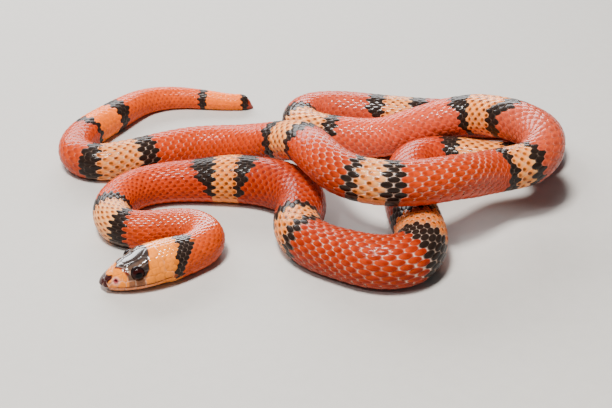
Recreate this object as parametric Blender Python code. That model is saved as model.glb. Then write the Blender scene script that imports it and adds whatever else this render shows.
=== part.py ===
"""Milk snake, life size, lying still in loose coils with its chin on the floor.

One round section with a flat belly is swept along a smooth route that crosses over itself twice.
The body is parted by thin upright cuts into a head, a neck, numbered body lengths and two lengths
of tail.
Sizes below are millimetres. Stations along the animal are measured from the tip of the snout, and
the side called left in a section is the one to the left of somebody who looks from the snout along
the body, which is the animal's own right. The two eyes are named after the animal's own sides.
"""

import math

import bmesh
import bpy
import numpy as np
from mathutils import Matrix, Vector

# Driving sizes
MM = 0.001
GAP = 0.3
TOTAL_LENGTH = 880.0
HEAD_END = 30.0
NECK_END = 62.0
VENT = 815.0
TAIL_CUT = 842.0
HIGH = 0.95
WAIST = 0.455
PLACE = (-0.6, -0.7)

# Route of the body seen from above, with how far the belly is lifted off the floor where it
# crosses another loop: x, y, lift
ROUTE = [
    (-65.7, -63.8, 0), (-58.0, -63.0, 0), (-50.5, -60.1, 0), (-43.4, -56.4, 0), (-37.2, -52.2, 0),
    (-34.0, -45.8, 0), (-37.6, -39.4, 0), (-45.8, -38.2, 0), (-55.0, -39.4, 0), (-63.0, -36.5, 0),
    (-66.5, -29.5, 0), (-65.7, -20.7, 0), (-60.3, -13.2, 0), (-50.0, -9.0, 0), (-36.0, -8.2, 0),
    (-24.0, -9.0, 0), (-13.6, -12.2, 0), (-6.1, -18.2, 0), (-3.3, -26.5, 0), (-4.7, -36.0, 0),
    (-3.5, -44.5, 0), (1.5, -51.5, 0), (10.5, -57.5, 0), (20.5, -61.6, 0), (29.0, -60.0, 0),
    (34.0, -52.5, 0), (34.4, -41.5, 0), (32.8, -28.0, 0), (32.6, -14.5, 0), (34.0, -3.8, 0),
    (38.3, 5.4, 0), (47.8, 9.0, 0), (59.0, 6.4, 0), (70.5, 5.0, 0), (80.2, 9.2, 0),
    (86.2, 18.0, 0), (87.0, 29.0, 0), (81.5, 38.0, 0), (70.0, 41.5, 0), (54.0, 41.7, 0),
    (38.0, 43.7, 0), (22.0, 47.2, 0), (7.5, 49.4, 0), (-1.0, 46.6, 0), (-3.9, 39.2, 0),
    (-0.4, 31.9, 0), (8.0, 27.6, 0), (18.0, 25.0, 0), (28.0, 23.6, 1.0), (38.0, 22.8, 4.5),
    (50.0, 22.4, 8.9), (60.5, 20.3, 11.7), (68.0, 14.0, 13.7), (74.3, 6.6, 15.1), (78.8, -2.0, 15.1),
    (78.8, -10.7, 14.0), (72.4, -18.0, 11.8), (62.0, -21.8, 11.2), (52.0, -29.6, 13.4),
    (42.0, -37.4, 16.6), (31.0, -41.2, 17.3), (19.5, -40.2, 17.2), (9.8, -34.2, 17.1),
    (3.4, -24.4, 17.3), (-1.8, -12.1, 16.1), (-8.4, 0.6, 10.6), (-17.0, 10.5, 5.0),
    (-28.5, 17.4, 1.2), (-42.0, 19.0, 0), (-54.5, 14.5, 0), (-67.0, 8.8, 0), (-78.0, 7.3, 0),
    (-85.3, 12.5, 0), (-87.4, 21.5, 0), (-84.8, 32.5, 0), (-79.5, 42.8, 0), (-74.0, 53.0, 0),
    (-67.5, 61.8, 0), (-57.0, 66.8, 0), (-43.5, 66.5, 0), (-31.5, 65.3, 0), (-23.5, 66.0, 0),
]

# Girth: station, widest diameter
GIRTH = [
    (HEAD_END, 12.7), (NECK_END, 12.7), (85, 13.4), (115, 14.8), (135, 17.2), (150, 17.3),
    (172, 16.4), (192, 16.0), (215, 17.1), (250, 17.2), (270, 16.6), (300, 15.6), (340, 15.3),
    (480, 15.2), (640, 14.9), (740, 14.5), (785, 13.1), (VENT, 12.1), (835, 10.5), (850, 9.0),
    (862, 7.9), (874, 6.8),
]
TAIL_TIP_LENGTH = 6.0

# Stations of the cuts that part the numbered body lengths
BODY_CUTS = [
    NECK_END, 86, 130, 168, 212, 236, 290, 345, 390, 456, 500, 552, 590, 634, 680, 730, 776, VENT,
]

# Facets
BODY_SIDES = 16
LONGEST_STEP = 6.0
SHARPEST_TURN = math.radians(18)

# Head: station, width, height of the crown, height of the line of the mouth
HEAD_SHAPE = [
    (0, 7.6, 3.9, 2.0), (3, 9.4, 5.6, 2.1), (6, 11.2, 8.3, 2.3), (9.5, 13.0, 9.6, 2.5),
    (12.5, 14.1, 11.1, 2.7), (15, 14.8, 11.9, 2.9), (20, 15.2, 12.4, 3.7), (25, 14.3, 12.4, 4.8),
    (HEAD_END, 12.7, 12.07, 5.78),
]
HEAD_RINGS = 30
HEAD_SIDES = 18
NOSE_LENGTH = 3.2
JAW_RECESS = 2.0
JAW_NARROWER = 0.89
MOUTH_END = 21.0
MOUTH_DEPTH = 0.45
MOUTH_WIDTH = 0.22
CROWN_ROUNDNESS = 0.78
BROW_STATION = 11.8
BROW_RISE = 0.5

# Eyes and nostrils
EYE_STATION = 11.0
EYE_DIAMETER = 4.4
EYE_HEIGHT = 7.1
EYE_SHOWING = 1.2
NOSTRIL_STATION = 5.4
NOSTRIL_HEIGHT = 5.0
NOSTRIL_SIZE = (1.1, 0.8)
NOSTRIL_DEPTH = 0.7

# Colours: colour, roughness
SKIN_RED = ((0.56, 0.08, 0.03), 0.35)
SKIN_HEAD = ((0.62, 0.26, 0.09), 0.35)
SKIN_TAIL = ((0.60, 0.14, 0.04), 0.35)
EYE_DARK = ((0.02, 0.008, 0.008), 0.08)


# Curves through named points

def natural_spline(places, values, wanted):
    """Smooth curve through the values at the places, read at the wanted places."""
    count = len(places)
    step = np.diff(places)
    matrix = np.eye(count)
    right = np.zeros_like(values)
    slope = np.diff(values, axis=0) / step[:, None]
    for i in range(1, count - 1):
        matrix[i, i - 1:i + 2] = step[i - 1], 2 * (step[i - 1] + step[i]), step[i]
        right[i] = 6 * (slope[i] - slope[i - 1])
    bend = np.linalg.solve(matrix, right)
    i = np.clip(np.searchsorted(places, wanted) - 1, 0, count - 2)
    width = step[i][:, None]
    after = (wanted - places[i])[:, None]
    before = width - after
    curved = (bend[i] * before**3 + bend[i + 1] * after**3) / (6 * width)
    first = (values[i] / width - bend[i] * width / 6) * before
    second = (values[i + 1] / width - bend[i + 1] * width / 6) * after
    return curved + first + second


def steady_curve(places, values, wanted):
    """Curve through the values that never swings past them, so that level stretches stay level."""
    step = np.diff(places)
    slope = np.diff(values) / step
    lean = np.zeros(len(places))
    for i in range(1, len(places) - 1):
        if slope[i - 1] * slope[i] > 0:
            near = 2 * step[i] + step[i - 1]
            far = step[i] + 2 * step[i - 1]
            lean[i] = (near + far) / (near / slope[i - 1] + far / slope[i])
    wanted = np.clip(wanted, places[0], places[-1])
    i = np.clip(np.searchsorted(places, wanted) - 1, 0, len(places) - 2)
    t = (wanted - places[i]) / step[i]
    start = (1 + 2 * t) * (1 - t) ** 2 * values[i] + t * (1 - t) ** 2 * step[i] * lean[i]
    end = t**2 * (3 - 2 * t) * values[i + 1] - t**2 * (1 - t) * step[i] * lean[i + 1]
    return start + end


def read_table(table, column, station):
    """One column of a table of sizes at a station."""
    rows = np.array(table, float)
    return float(steady_curve(rows[:, 0], rows[:, column], np.array([float(station)]))[0])


class Route:
    """The belly line on the floor, by distance from the snout."""

    def __init__(self):
        points = np.array(ROUTE, float)
        points[:, :2] += PLACE
        chord = np.linalg.norm(np.diff(points[:, :2], axis=0), axis=1)
        places = np.concatenate([[0], np.cumsum(chord)])
        fine = np.linspace(0, places[-1], 9000)
        flat = natural_spline(places, points[:, :2], fine)
        lift = steady_curve(places, points[:, 2], fine)
        self.path = np.column_stack([flat, lift])
        steps = np.linalg.norm(np.diff(self.path, axis=0), axis=1)
        self.station = np.concatenate([[0], np.cumsum(steps)])
        self.station *= TOTAL_LENGTH / self.station[-1]
        direction = np.gradient(self.path, axis=0)
        self.direction = direction / np.linalg.norm(direction, axis=1)[:, None]
        turned = np.diff(np.unwrap(np.arctan2(self.direction[:, 1], self.direction[:, 0])))
        self.turned = np.concatenate([[0], np.cumsum(np.abs(turned))])

    def read(self, station, values):
        return np.array([np.interp(station, self.station, column) for column in values.T])

    def frame(self, station):
        """Place on the belly line, and the directions along, left and up."""
        place = self.read(station, self.path)
        along = self.read(station, self.direction)
        along /= np.linalg.norm(along)
        left = np.cross([0.0, 0.0, 1.0], along)
        left /= np.linalg.norm(left)
        return place, along, left, np.cross(along, left)

    def stations(self, start, end):
        """Stations between two cuts, closer together where the body bends."""
        fine = np.linspace(start, end, 400)
        turn = np.interp(fine, self.station, self.turned)
        cost = (fine - start) / LONGEST_STEP + (turn - turn[0]) / SHARPEST_TURN
        count = max(2, math.ceil(cost[-1]))
        return np.interp(np.linspace(0, cost[-1], count + 1), cost, fine)


# Sections

def power(value, exponent):
    return math.copysign(abs(value) ** exponent, value)


def belly_half(turn, depth, squareness):
    """Height below the widest level, flat where the belly rests."""
    return -depth * min(1.0, 1.06 * abs(math.sin(turn)) ** squareness)


def body_width(station):
    width = read_table(GIRTH, 1, station)
    to_tip = TOTAL_LENGTH - station
    if to_tip < TAIL_TIP_LENGTH:
        width *= math.sqrt(max(0.0, 1 - (1 - to_tip / TAIL_TIP_LENGTH) ** 2))
    return width


def body_section(width):
    """Points (left, up) round the body, measured from the belly line."""
    points = []
    for i in range(BODY_SIDES):
        turn = 2 * math.pi * (i + 0.5) / BODY_SIDES
        left = 0.5 * width * power(math.cos(turn), 0.94)
        up = (HIGH - WAIST) * width * math.sin(turn)
        if up < 0:
            up = belly_half(turn, WAIST * width, 0.85)
        points.append((left, WAIST * width + up))
    return points


def head_section(station):
    """Points (left, up, back) of the left half of the head, from the crown to the chin."""
    width = read_table(HEAD_SHAPE, 1, station)
    crown = read_table(HEAD_SHAPE, 2, station)
    mouth = read_table(HEAD_SHAPE, 3, station)
    nose = math.sqrt(1 - (1 - min(1.0, station / NOSE_LENGTH)) ** 2)
    to_neck = station / HEAD_END
    roundness = CROWN_ROUNDNESS + (1 - CROWN_ROUNDNESS) * to_neck**2
    closed = max(0.0, min(1.0, (MOUTH_END - station) / 2))
    narrower = 1 - (1 - JAW_NARROWER) * closed
    recess = JAW_RECESS * (1 - min(1.0, station / (2 * NOSE_LENGTH)))
    brow = BROW_RISE * math.exp(-(((station - BROW_STATION) / 3.0) ** 2))
    points = []
    upper = [math.pi / 2 * (1 - i / HEAD_SIDES) for i in range(HEAD_SIDES)]
    for turn in upper:
        on_brow = math.exp(-(((turn - math.radians(52)) / 0.22) ** 2))
        left = 0.5 * width * power(math.cos(turn), roundness) + brow * on_brow
        up = (crown - mouth) * power(math.sin(turn), roundness) + 0.5 * brow * on_brow
        points.append((nose * left, mouth + nose * up, 0.0))
    lip = min(MOUTH_WIDTH, 0.3 * nose)
    edge = nose * 0.5 * width
    points.append((edge, mouth + lip, 0.0))
    points.append((max(0.0, edge - MOUTH_DEPTH * closed), mouth, 0.5 * recess))
    points.append((edge * narrower, mouth - lip, recess))
    lower = [math.pi / 2 * i / (HEAD_SIDES // 2) for i in range(1, HEAD_SIDES // 2 + 1)]
    for turn in lower:
        left = edge * narrower * power(math.cos(turn), 0.85)
        up = nose * belly_half(turn, mouth, 0.85)
        points.append((left, min(mouth - lip, mouth + up), recess))
    return points


# Solids

def add_object(name, mesh, look):
    colour, roughness = look
    material = bpy.data.materials.new(name + "_skin")
    material.use_nodes = True
    shader = material.node_tree.nodes["Principled BSDF"]
    shader.inputs["Base Color"].default_value = (*colour, 1)
    shader.inputs["Roughness"].default_value = roughness
    shader.inputs["Metallic"].default_value = 0.0
    mesh.materials.append(material)
    mesh.shade_smooth()
    mesh.set_sharp_from_angle(angle=math.radians(40))
    thing = bpy.data.objects.new(name, mesh)
    bpy.context.scene.collection.objects.link(thing)
    return thing


def skin_rings(name, rings, start_point=None, end_point=None):
    """Closed mesh through rings of equal count, ended by a flat face or by a point."""
    shape = bmesh.new()
    rows = [[shape.verts.new(Vector(point) * MM) for point in ring] for ring in rings]
    count = len(rows[0])
    for row, following in zip(rows, rows[1:]):
        for i in range(count):
            j = (i + 1) % count
            shape.faces.new((row[i], following[i], following[j], row[j]))
    for row, point in ((rows[0], start_point), (rows[-1], end_point)):
        if point is None:
            shape.faces.new(row)
            continue
        tip = shape.verts.new(Vector(point) * MM)
        for i in range(count):
            shape.faces.new((row[i], row[(i + 1) % count], tip))
    bmesh.ops.recalc_face_normals(shape, faces=shape.faces)
    bmesh.ops.triangulate(shape, faces=shape.faces)
    mesh = bpy.data.meshes.new(name)
    shape.to_mesh(mesh)
    shape.free()
    return mesh


def ring_at(route, station, points, shift=0.0):
    """Section points in space, moved along the body by the shift."""
    place, along, left, up = route.frame(station)
    ring = []
    for point in points:
        back = point[2] if len(point) > 2 else 0.0
        ring.append(place + along * (shift + back) + left * point[0] + up * point[1])
    return ring


def body_length(route, name, start, end, look):
    """A length of the body between two upright cuts, half a gap short at each of them."""
    stations = route.stations(start, end)
    rings = []
    for station in stations:
        shift = 0.0
        if station == stations[0]:
            shift = GAP / 2
        elif station == stations[-1]:
            shift = -GAP / 2
        rings.append(ring_at(route, station, body_section(body_width(station)), shift))
    return add_object(name, skin_rings(name, rings), look)


def tail_tip(route):
    """The last length, which narrows to a blunt point."""
    straight = route.stations(TAIL_CUT, TOTAL_LENGTH - TAIL_TIP_LENGTH)
    tip = [TOTAL_LENGTH - TAIL_TIP_LENGTH * share for share in (0.7, 0.4, 0.15)]
    rings = []
    for station in [*straight, *tip]:
        shift = GAP / 2 if station == straight[0] else 0.0
        rings.append(ring_at(route, station, body_section(body_width(station)), shift))
    place, _, _, up = route.frame(TOTAL_LENGTH)
    end_point = place + up * 0.3 * WAIST * body_width(TOTAL_LENGTH - TAIL_TIP_LENGTH)
    return add_object("tail_tip", skin_rings("tail_tip", rings, end_point=end_point), SKIN_TAIL)


def head_rings(route):
    rings = []
    for i in range(1, HEAD_RINGS + 1):
        station = HEAD_END * (i / HEAD_RINGS) ** 1.6
        half = head_section(station)
        other = [(-left, up, back) for left, up, back in half[-2:0:-1]]
        shift = -GAP / 2 if i == HEAD_RINGS else 0.0
        rings.append(ring_at(route, station, half + other, shift))
    return rings


def place_on_head(route, station, left, up):
    place, _, side, above = route.frame(station)
    return place + side * left + above * up


def head_half_width(station, height):
    """Half the width of the head at a height above the mouth."""
    half = head_section(station)[:HEAD_SIDES]
    ups = [point[1] for point in half][::-1]
    lefts = [point[0] for point in half][::-1]
    return float(np.interp(height, ups, lefts))


def ball(name, centre, size, turn=0.0):
    """A round or egg-shaped body, sized along the head, across it and upwards."""
    shape = bmesh.new()
    bmesh.ops.create_icosphere(shape, subdivisions=3, radius=0.5)
    scale = Matrix.Diagonal((*[side * MM for side in size], 1))
    place = Matrix.Translation(Vector(centre) * MM)
    bmesh.ops.transform(shape, matrix=place @ Matrix.Rotation(turn, 4, "Z") @ scale, verts=shape.verts)
    mesh = bpy.data.meshes.new(name)
    shape.to_mesh(mesh)
    shape.free()
    return mesh


def cut_away(thing, cutter_mesh):
    cutter = bpy.data.objects.new(cutter_mesh.name, cutter_mesh)
    bpy.context.scene.collection.objects.link(cutter)
    cutter.hide_render = True
    cutter.display_type = "WIRE"
    cut = thing.modifiers.new(cutter_mesh.name, "BOOLEAN")
    cut.operation = "DIFFERENCE"
    cut.object = cutter


def head(route):
    """The head with its mouth line and lips, an eye in a socket on each side, and two nostrils."""
    tip = place_on_head(route, 0.0, 0.0, read_table(HEAD_SHAPE, 3, 0))
    mesh = skin_rings("head", head_rings(route), start_point=tip)
    skull = add_object("head", mesh, SKIN_HEAD)
    _, along, _, _ = route.frame(EYE_STATION)
    heading = math.atan2(along[1], along[0])
    for side, word in ((-1, "left"), (1, "right")):
        out = head_half_width(EYE_STATION, EYE_HEIGHT) - EYE_DIAMETER / 2 + EYE_SHOWING
        centre = place_on_head(route, EYE_STATION, side * out, EYE_HEIGHT)
        add_object("eye_" + word, ball("eye_" + word, centre, (EYE_DIAMETER,) * 3), EYE_DARK)
        socket = ball("socket_" + word, centre, (EYE_DIAMETER + 2 * GAP,) * 3)
        cut_away(skull, socket)
        out = head_half_width(NOSTRIL_STATION, NOSTRIL_HEIGHT)
        centre = place_on_head(route, NOSTRIL_STATION, side * out, NOSTRIL_HEIGHT)
        size = (NOSTRIL_SIZE[0], 2 * NOSTRIL_DEPTH, NOSTRIL_SIZE[1])
        cut_away(skull, ball("nostril_" + word, centre, size, heading))


def build():
    for thing in list(bpy.data.objects):
        bpy.data.objects.remove(thing)
    route = Route()
    head(route)
    body_length(route, "neck", HEAD_END, NECK_END, SKIN_RED)
    for number, (start, end) in enumerate(zip(BODY_CUTS, BODY_CUTS[1:]), 1):
        body_length(route, f"body_{number:02d}", start, end, SKIN_RED)
    body_length(route, "tail", VENT, TAIL_CUT, SKIN_TAIL)
    tail_tip(route)


build()
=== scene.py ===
"""Milk snake, life size, lying still in loose coils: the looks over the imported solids.

One skin follows the same route and sections as the solids. Over it lie smooth solid scales, row by
row, with broad scutes under the belly, and large plates are worked into the skin of the head.
Sizes are millimetres until a mesh is made. Stations are measured from the tip of the snout, and
rounds go from 0 on the spine to 1 at the middle of the belly, above zero to the left of somebody who
looks from the snout along the body. That is the animal's own right, after which the eyes are named.
"""

import math

import bpy
import numpy as np
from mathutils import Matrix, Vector


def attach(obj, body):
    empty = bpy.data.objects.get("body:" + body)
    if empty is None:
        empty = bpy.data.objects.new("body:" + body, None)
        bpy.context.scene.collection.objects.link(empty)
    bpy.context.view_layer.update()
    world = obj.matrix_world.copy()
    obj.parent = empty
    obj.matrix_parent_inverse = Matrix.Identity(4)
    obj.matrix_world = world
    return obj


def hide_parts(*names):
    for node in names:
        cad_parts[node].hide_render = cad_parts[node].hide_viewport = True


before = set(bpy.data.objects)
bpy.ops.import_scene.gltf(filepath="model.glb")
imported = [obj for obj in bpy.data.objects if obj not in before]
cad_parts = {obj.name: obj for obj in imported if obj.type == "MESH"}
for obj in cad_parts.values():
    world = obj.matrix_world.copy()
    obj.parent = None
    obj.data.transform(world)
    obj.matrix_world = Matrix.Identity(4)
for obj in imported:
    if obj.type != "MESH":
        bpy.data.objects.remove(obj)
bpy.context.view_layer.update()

# Driving sizes. The route, the girths, the head's sizes and the levels are those of the solids.
MM = 0.001
TOTAL_LENGTH = 880.0
HEAD_END = 30.0
VENT = 815.0
HIGH = 0.95
WAIST = 0.455
BODY_ROUNDNESS = 0.94
BELLY_ROUNDNESS = 0.85
BELLY_FLATNESS = 1.06
PLACE = (-0.6, -0.7)
# Length over which the heights of the route are evened out
LIFT_SOFTNESS = 13.0
ROUTE = [
    (-65.7, -63.8, 0), (-58.0, -63.0, 0), (-50.5, -60.1, 0), (-43.4, -56.4, 0), (-37.2, -52.2, 0),
    (-34.0, -45.8, 0), (-37.6, -39.4, 0), (-45.8, -38.2, 0), (-55.0, -39.4, 0), (-63.0, -36.5, 0),
    (-66.5, -29.5, 0), (-65.7, -20.7, 0), (-60.3, -13.2, 0), (-50.0, -9.0, 0), (-36.0, -8.2, 0),
    (-24.0, -9.0, 0), (-13.6, -12.2, 0), (-6.1, -18.2, 0), (-3.3, -26.5, 0), (-4.7, -36.0, 0),
    (-3.5, -44.5, 0), (1.5, -51.5, 0), (10.5, -57.5, 0), (20.5, -61.6, 0), (29.0, -60.0, 0),
    (34.0, -52.5, 0), (34.4, -41.5, 0), (32.8, -28.0, 0), (32.6, -14.5, 0), (34.0, -3.8, 0),
    (38.3, 5.4, 0), (47.8, 9.0, 0), (59.0, 6.4, 0), (70.5, 5.0, 0), (80.2, 9.2, 0),
    (86.2, 18.0, 0), (87.0, 29.0, 0), (81.5, 38.0, 0), (70.0, 41.5, 0), (54.0, 41.7, 0),
    (38.0, 43.7, 0), (22.0, 47.2, 0), (7.5, 49.4, 0), (-1.0, 46.6, 0), (-3.9, 39.2, 0),
    (-0.4, 31.9, 0), (8.0, 27.6, 0), (18.0, 25.0, 0), (28.0, 23.6, 1.0), (38.0, 22.8, 4.5),
    (50.0, 22.4, 8.9), (60.5, 20.3, 11.7), (68.0, 14.0, 13.7), (74.3, 6.6, 15.1), (78.8, -2.0, 15.1),
    (78.8, -10.7, 14.0), (72.4, -18.0, 11.8), (62.0, -21.8, 11.2), (52.0, -29.6, 13.4),
    (42.0, -37.4, 16.6), (31.0, -41.2, 17.3), (19.5, -40.2, 17.2), (9.8, -34.2, 17.1),
    (3.4, -24.4, 17.3), (-1.8, -12.1, 16.1), (-8.4, 0.6, 10.6), (-17.0, 10.5, 5.0),
    (-28.5, 17.4, 1.2), (-42.0, 19.0, 0), (-54.5, 14.5, 0), (-67.0, 8.8, 0), (-78.0, 7.3, 0),
    (-85.3, 12.5, 0), (-87.4, 21.5, 0), (-84.8, 32.5, 0), (-79.5, 42.8, 0), (-74.0, 53.0, 0),
    (-67.5, 61.8, 0), (-57.0, 66.8, 0), (-43.5, 66.5, 0), (-31.5, 65.3, 0), (-23.5, 66.0, 0),
]
GIRTH = [
    (HEAD_END, 12.7), (62, 12.7), (85, 13.4), (115, 14.8), (135, 17.2), (150, 17.3),
    (172, 16.4), (192, 16.0), (215, 17.1), (250, 17.2), (270, 16.6), (300, 15.6), (340, 15.3),
    (480, 15.2), (640, 14.9), (740, 14.5), (785, 13.1), (VENT, 12.1), (835, 10.5), (850, 9.0),
    (862, 7.9), (874, 6.8),
]
TAIL_TIP_LENGTH = 6.0
# Rings on the tip of the tail, as shares of its length before the end
TAIL_TIP_RINGS = (0.85, 0.7, 0.55, 0.4, 0.28, 0.17, 0.09, 0.03)

# Head: station, width, height of the crown, height of the line of the mouth
HEAD_SHAPE = [
    (0, 7.6, 3.9, 2.0), (3, 9.4, 5.6, 2.1), (6, 11.2, 8.3, 2.3), (9.5, 13.0, 9.6, 2.5),
    (12.5, 14.1, 11.1, 2.7), (15, 14.8, 11.9, 2.9), (20, 15.2, 12.4, 3.7), (25, 14.3, 12.4, 4.8),
    (HEAD_END, 12.7, 12.07, 5.78),
]
HEAD_TO_BODY = (28.5, 31.5)
NOSE_LENGTH = 3.2
JAW_RECESS = 2.0
JAW_NARROWER = 0.89
MOUTH_END = 21.0
MOUTH_DEPTH = 0.5
MOUTH_WIDTH = 0.2
CROWN_ROUNDNESS = 0.78
BROW_STATION = 11.8
BROW_LENGTH = 3.0
BROW_TURN = math.radians(52)
BROW_WIDTH = 0.22
BROW_RISE = 0.5
EYE_STATION = 11.0
EYE_DIAMETER = 4.4
EYE_HEIGHT = 7.1
EYE_SHOWING = 1.2
EYE_INSIDE = 0.03
NOSTRIL_STATION = 5.4
NOSTRIL_HEIGHT = 5.0
NOSTRIL_RADIUS = 0.5
NOSTRIL_DEPTH = 0.7
SEAM_DEPTH = 0.12
SEAM_WIDTH = 0.14
# Rings in the skin round an eye: height, distance from the eye's axis, width
EYE_RINGS = [(-0.16, 2.9, 0.40), (0.06, 2.3, 0.22)]
SOCKET_EDGE = (1.85, 2.12)
SOCKET_DEPTH = 0.40

# Plates of the head: name, then places as station and angle from 0 on the crown over 1 at the mouth
# to 2 under the chin. A plate away from the middle has a twin on the other side.
PLATES = {
    "rostral": [(0.5, 0.45), (0.5, 0.0), (0.7, 0.8)],
    "internasal": [(2.9, 0.24)],
    "prefrontal": [(5.8, 0.17), (6.0, 0.38)],
    "frontal": [(9.3, 0.0), (11.2, 0.0), (12.8, 0.0)],
    "supraocular": [(9.2, 0.37), (10.9, 0.42), (12.6, 0.40)],
    "parietal": [(15.2, 0.15), (16.3, 0.26), (16.6, 0.12)],
    "nasal_front": [(3.7, 0.66)],
    "nasal_rear": [(6.3, 0.66)],
    "loreal": [(7.8, 0.68)],
    "preocular": [(8.8, 0.60), (8.9, 0.72)],
    "eye": [(11.0, 0.684)],
    "postocular_high": [(13.3, 0.56)],
    "postocular_low": [(13.4, 0.74)],
    "temporal_high": [(15.9, 0.55)],
    "temporal_low": [(16.0, 0.73)],
    "temporal_rear_high": [(17.9, 0.46)],
    "temporal_rear_middle": [(18.0, 0.61)],
    "temporal_rear_low": [(18.2, 0.75)],
    "mental": [(0.9, 1.6), (0.9, 2.0)],
    "chin_front": [(4.0, 1.75), (6.2, 1.72)],
    "chin_rear": [(8.9, 1.75), (11.0, 1.72)],
    "throat_side": [(8.7, 1.45)],
    "throat_side_2": [(11.3, 1.45)],
}
# The eight plates of each lip, one place each
UPPER_LIPS = [
    (2.3, 0.88), (4.5, 0.89), (6.7, 0.89), (9.0, 0.89), (11.3, 0.90), (13.9, 0.90), (16.8, 0.90),
    (19.6, 0.91),
]
LOWER_LIPS = [
    (2.2, 1.30), (4.3, 1.22), (6.5, 1.20), (8.9, 1.18), (11.4, 1.17), (14.0, 1.16), (16.7, 1.15),
    (19.3, 1.14),
]

# Heights over the swept section, which touches the corners of the solids
PLATE_TOP = -0.10
SKIN_UNDER_SCALES = -0.52
BELLY_SKIN_FROM = 0.7
# How far the skin sinks on the inner side of tight bends, between two shares of its length there
SKIN_IN_FOLDS = 0.6
FOLDED = (0.2, 0.8)

# Scales and scutes
SCALE_FRONT = -0.48
SCALE_REAR = -0.25
SCALE_DOME = 0.14
SCALE_HALF_WIDTH = (0.76, 0.655)
SCALE_SLOPE = 0.55
SCALE_CORNERS = 7.0
MOST_STRETCHED = 1.60
SCUTE_HALF_LENGTH = 0.60
SCUTE_OVERLAP = 0.022
SCUTE_FRONT = -0.22
SCUTE_REAR = -0.04

# Rows of scales: first station, last station, rows, share of the way round that they cover, and
# round of their middle
COAT_LENGTHS = [
    (18.0, 137.0, 23, 0.67, 0.0), (137.0, 406.0, 21, 0.71, 0.0), (406.0, 528.0, 21, 0.70, 0.0),
    (528.0, 771.0, 19, 0.73, 0.0), (771.0, 859.0, 15, 0.72, 0.0), (859.0, 877.0, 11, 0.72, 0.0),
]
THROAT = (13.0, 29.0, 9, 0.34, 1.0)
LENGTHS_OVERLAP = 0.7
# Where the coat starts on the crown, and how much farther back it starts between two shares of the
# way down to the mouth
CROWN_COAT_START = 17.3
COAT_STEPS = [(0.7, 0.3, 0.6), (2.4, 0.80, 0.90), (-7.4, 1.12, 1.3)]
FIRST_SCALES_BEHIND = 0.5
SCUTES_START = 27.0
# Length that one scale takes: station, pitch along the body
PITCH = [
    (13, 1.5), (30, 1.9), (60, 2.4), (90, 2.9), (120, 3.2), (150, 3.3), (300, 3.3), (450, 3.2),
    (600, 3.3), (640, 3.5), (690, 3.3), (760, 3.1), (VENT, 2.7), (850, 2.2), (880, 1.7),
]
# Half the length of a scale as a share of the pitch
SCALE_HALF_LENGTH = [
    (0, 0.62), (180, 0.58), (190, 0.51), (200, 0.50), (232, 0.50), (258, 0.58), (440, 0.57),
    (474, 0.50), (505, 0.50), (530, 0.57), (560, 0.52), (595, 0.53), (612, 0.495), (655, 0.495),
    (690, 0.53), (735, 0.50), (770, 0.50), (800, 0.60), (880, 0.62),
]
# How far the skin is stretched, so that it shows between the rows of scales: station, share
STRETCH = [
    (120, 0.0), (150, 0.15), (176, 0.45), (188, 0.85), (198, 1.0), (222, 1.0), (236, 0.6),
    (258, 0.1), (290, 0.15), (330, 0.1), (440, 0.0), (474, 0.3), (490, 0.45), (505, 0.2),
    (520, 0.05), (560, 0.1), (586, 0.05), (600, 0.5), (612, 0.95), (650, 1.0), (664, 0.7),
    (676, 0.3), (690, 0.1), (725, 0.1), (740, 0.45), (762, 0.5), (770, 0.15), (780, 0.1), (800, 0.0),
]
# How far the body is rolled over towards rounds above zero: station, share of half the way round
ROLL = [
    (0, 0), (265, 0), (296, 0.22), (305, 0.27), (325, 0.27), (360, 0.05), (380, 0), (585, 0),
    (615, -0.09), (655, -0.09), (690, 0), (880, 0),
]

# Bands of black, pale and black: where each starts, the end, how much the black narrows below, and
# how much wider the pale is on the spine
BANDS = [
    (66.5, 71.0, 79.0, 83.5, 0.2, 0), (118.5, 125.5, 134.5, 140.0, 0.8, 0),
    (174.5, 178.5, 184.5, 189.0, 0.0, 0), (223.5, 231.5, 241.0, 247.0, 0.0, 0),
    (298.0, 305.5, 321.0, 327.0, 0.2, 0), (403.0, 409.5, 419.5, 426.0, 0.6, 0),
    (456.0, 461.5, 473.5, 479.0, 0.2, 0), (526.2, 532.2, 541.8, 547.2, 0.3, 2.4),
    (577.0, 580.6, 586.0, 590.5, 0.1, 1.5), (630.0, 635.5, 642.5, 647.0, 0.0, 0),
    (672.5, 677.5, 689.5, 695.0, 0.2, 0), (750.0, 757.0, 769.0, 773.5, 0.1, 0),
    (797.5, 801.0, 814.0, 820.5, 0.3, 0), (857.5, 861.5, 875.0, 878.0, 0.2, 0),
]
# Hue of the pale bands, from ivory at 0 over gold at 0.5 to orange at 1: station, hue
ORANGE = [
    (0, 0.5), (30, 0.5), (75, 0.1), (130, 0.5), (181, 0.45), (236, 0.95), (313, 0.4), (468, 0.3),
    (536, 0.4), (583, 0.35), (639, 0.35), (683, 0.4), (763, 0.35), (807, 0.95), (880, 0.95),
]

# How orange the red lengths are: station, share
WARMTH = [
    (0, 0.8), (45, 0.7), (90, 0.4), (150, 0.1), (250, 0.1), (560, 0.2), (600, 0.3), (630, 0.3),
    (650, 0.2), (700, 0.35), (770, 0.35), (800, 0.4), (825, 0.9), (860, 0.9), (880, 0.3),
]
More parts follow.
